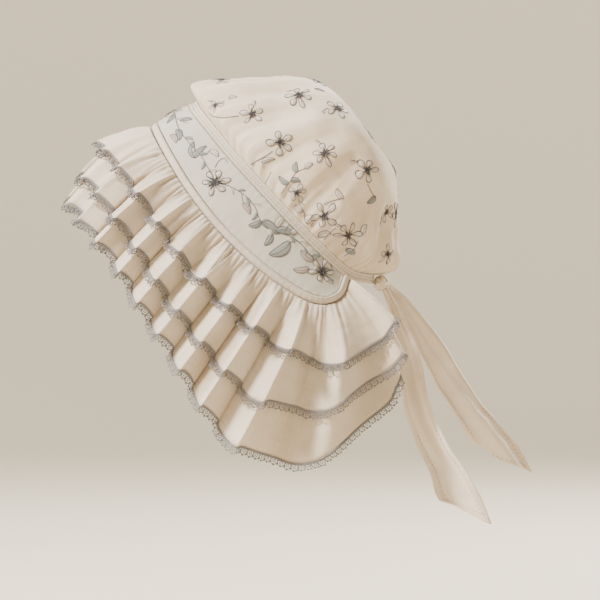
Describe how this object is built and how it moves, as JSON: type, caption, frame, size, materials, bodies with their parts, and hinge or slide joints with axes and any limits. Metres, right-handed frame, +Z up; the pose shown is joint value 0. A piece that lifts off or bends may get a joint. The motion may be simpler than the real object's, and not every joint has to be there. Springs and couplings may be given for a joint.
{
  "type": "gathered muslin cap bonnet",
  "caption": "Woman's muslin cap bonnet with a puffed embroidered crown, a shaped head band, tiered ruffles edged with lace, and ties knotted at the nape.",
  "frame": {"origin": "on top of the wearer's head, just under the seam between the crown and the band, in the middle plane: the mount head_seat", "axes": "+Z up, the wearer faces -Y, +X is the wearer's left"},
  "size_m": [0.2598, 0.4658, 0.4323],
  "materials": {
    "muslin": "soft fine cotton muslin, ivory with a faint peach cast",
    "band_cloth": "two layers of muslin worked with flowers and leaves in cotton thread",
    "tape": "folded muslin strip over cord, stitched along both edges",
    "lace": "narrow looped cotton lace in a slightly darker thread",
    "tie_cloth": "soft muslin with narrow stitched hems"
  },
  "bodies": {
    "root": {"crown": "muslin", "crown_casing": "tape", "head_band": "band_cloth", "front_binding": "tape", "ruffle_top": "muslin", "lace_top": "lace", "ruffle_middle": "muslin", "lace_middle": "lace", "ruffle_bottom": "muslin", "lace_bottom": "lace", "tie_knot": "tie_cloth", "tie_left": "tie_cloth", "tie_right": "tie_cloth"}
  },
  "joints": []
}
